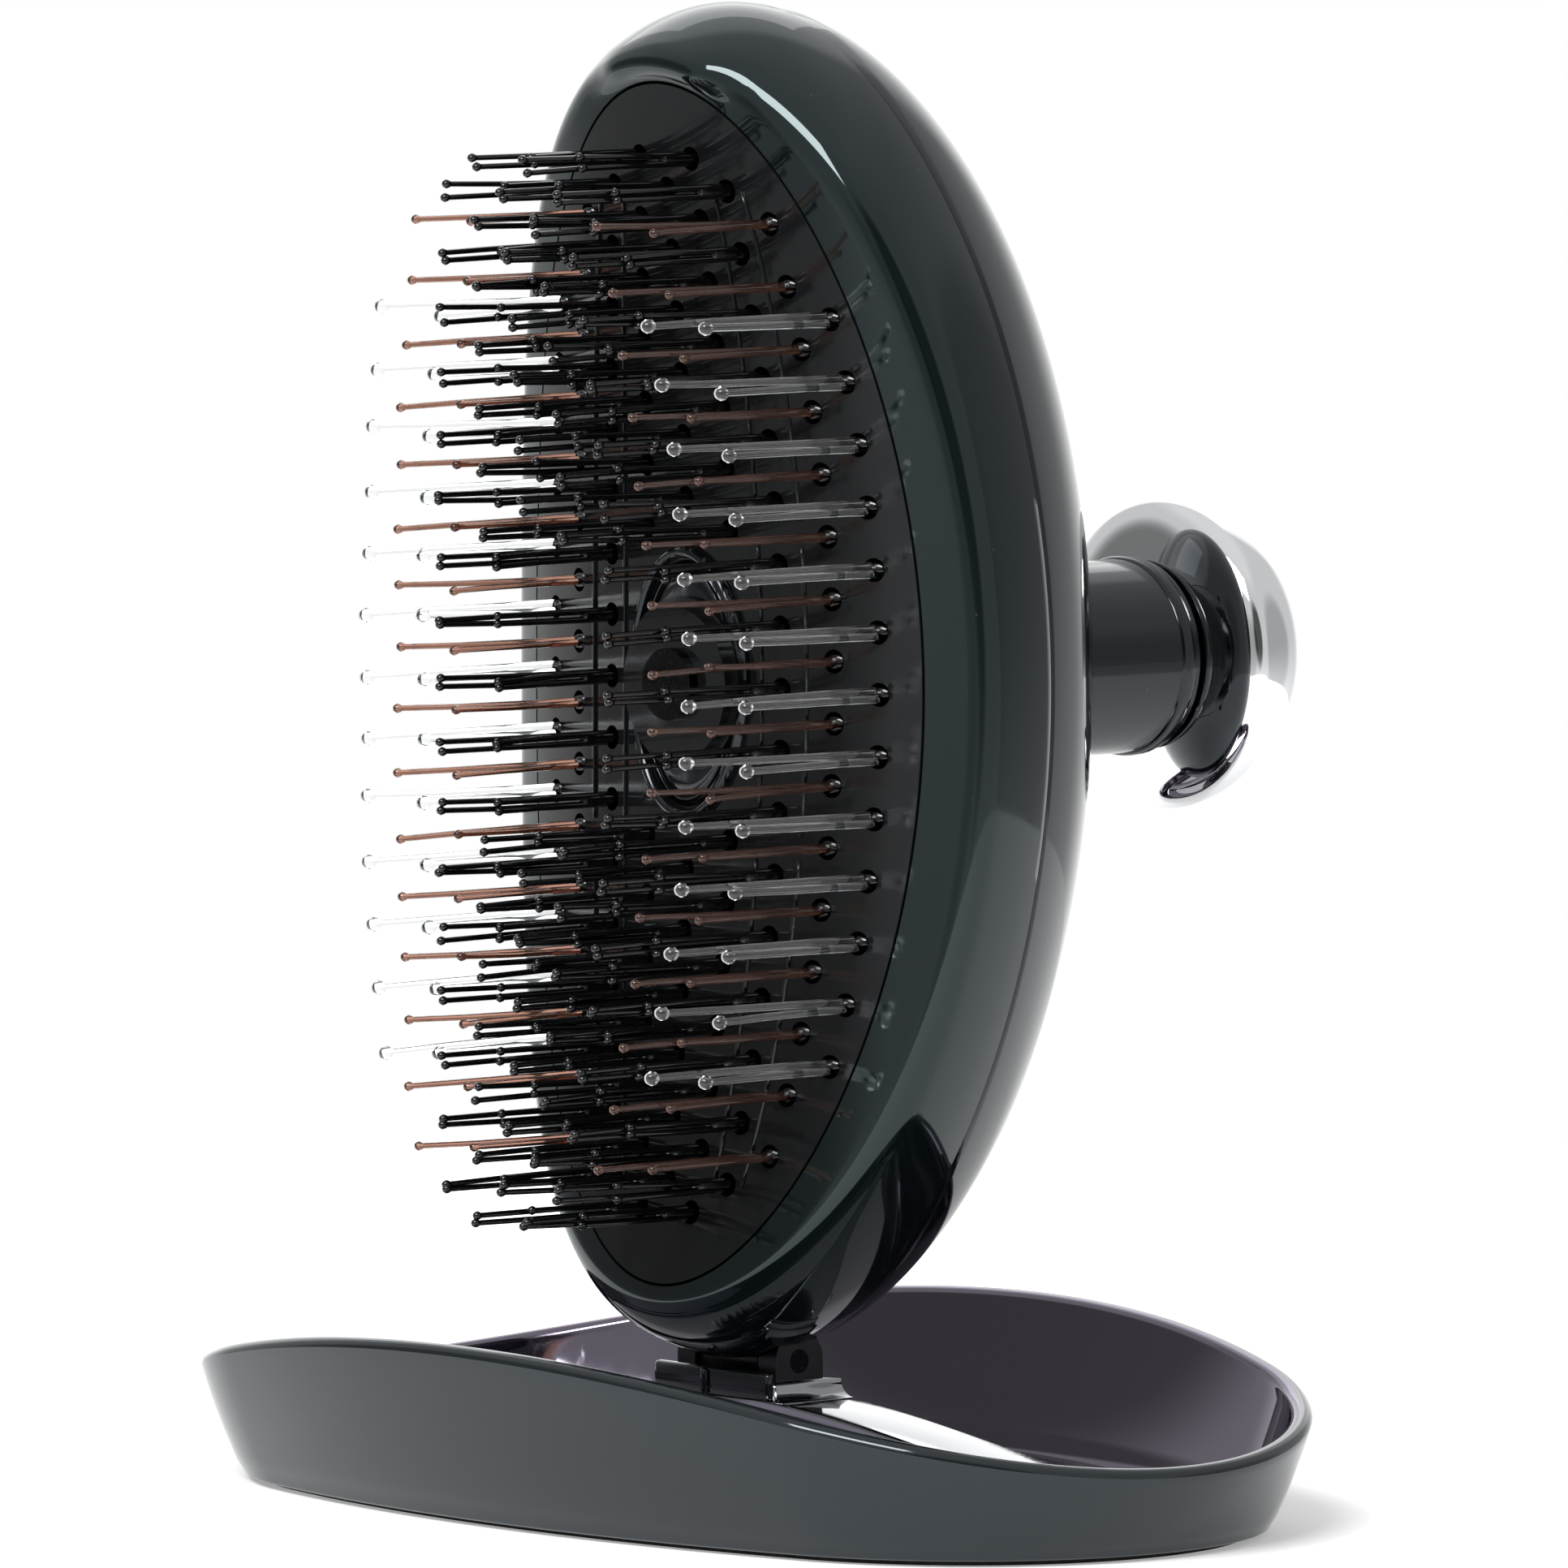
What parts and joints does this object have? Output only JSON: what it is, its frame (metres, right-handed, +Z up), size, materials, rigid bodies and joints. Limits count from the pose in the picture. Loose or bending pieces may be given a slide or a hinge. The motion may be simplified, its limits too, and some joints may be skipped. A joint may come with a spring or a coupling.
{
  "type": "hairbrush",
  "caption": "Oval paddle hairbrush standing on a flared mirror tray: folding bridge, tilting head, ball-tipped pins and a round push knob that lifts the perforated face.",
  "frame": {"origin": "middle of the foot's underside, where the tray rests", "axes": "+Z up along the standing head, +X along the tray's length towards the bridge's hinge, pins towards -Y, knob towards +Y"},
  "size_m": [0.11, 0.0894, 0.125],
  "materials": {
    "tray_lacquer": "glossy dark grey lacquer",
    "foot_rubber": "matt rubber",
    "mirror": "silvered glass",
    "bezel_plastic": "dark plum gloss",
    "pin_steel": "ground steel",
    "strap_lacquer": "gloss black paint",
    "black_plastic": "satin moulded",
    "screw_steel": "zinc plated",
    "washer_metal": "spring washer",
    "shell_gloss": "high gloss moulded",
    "ring_gloss": "high gloss moulded",
    "stem_plastic": "gloss black",
    "carrier_plastic": "moulded",
    "black_pin_plastic": "ball-tipped nylon",
    "rose_pin_plastic": "translucent rose brown",
    "clear_pin_plastic": "clear moulded",
    "face_plastic": "satin moulded",
    "core_plastic": "moulded",
    "knob_chrome": "bright chrome",
    "spring_steel": "spring wire"
  },
  "bodies": {
    "tray": {"tray_shell": "tray_lacquer", "foot_pad": "foot_rubber", "mirror_plate": "mirror", "mirror_bezel": "bezel_plastic", "arm_pin": "pin_steel", "rest_pad": "foot_rubber"},
    "arm": {"arm_strap": "strap_lacquer", "hinge_block": "black_plastic", "block_screw": "screw_steel", "tilt_pin": "pin_steel", "tilt_washers": "washer_metal"},
    "head": {"hinge_tongue": "black_plastic", "tongue_screw": "screw_steel", "back_shell": "shell_gloss", "front_ring": "ring_gloss", "guide_sleeve": "stem_plastic", "pin_carrier": "carrier_plastic", "carrier_screws": "screw_steel", "black_pins": "black_pin_plastic", "rose_pins": "rose_pin_plastic", "clear_pins": "clear_pin_plastic", "return_spring": "spring_steel"},
    "ejector": {"face_plate": "face_plastic", "centre_screw": "pin_steel", "push_stem": "stem_plastic", "stop_flange": "washer_metal", "knob_collar": "stem_plastic", "knob_core": "core_plastic", "knob": "knob_chrome"}
  },
  "joints": [
    {"name": "arm_fold", "type": "hinge", "parent": "tray", "child": "arm", "pos_m": [0.04707, 0, 0.0041], "axis": [0, 1, 0], "range_deg": [0, 95]},
    {"name": "head_tilt", "type": "hinge", "parent": "arm", "child": "head", "pos_m": [0, 0, 0.0124], "axis": [-1, 0, 0], "range_deg": [-10, 35]},
    {"name": "knob_press", "type": "slide", "parent": "head", "child": "ejector", "axis": [0, -1, 0], "range_m": [0, 0.01], "stiffness_N_per_m": 300, "springref_m": -0.005, "deforming": ["return_spring"]}
  ]
}
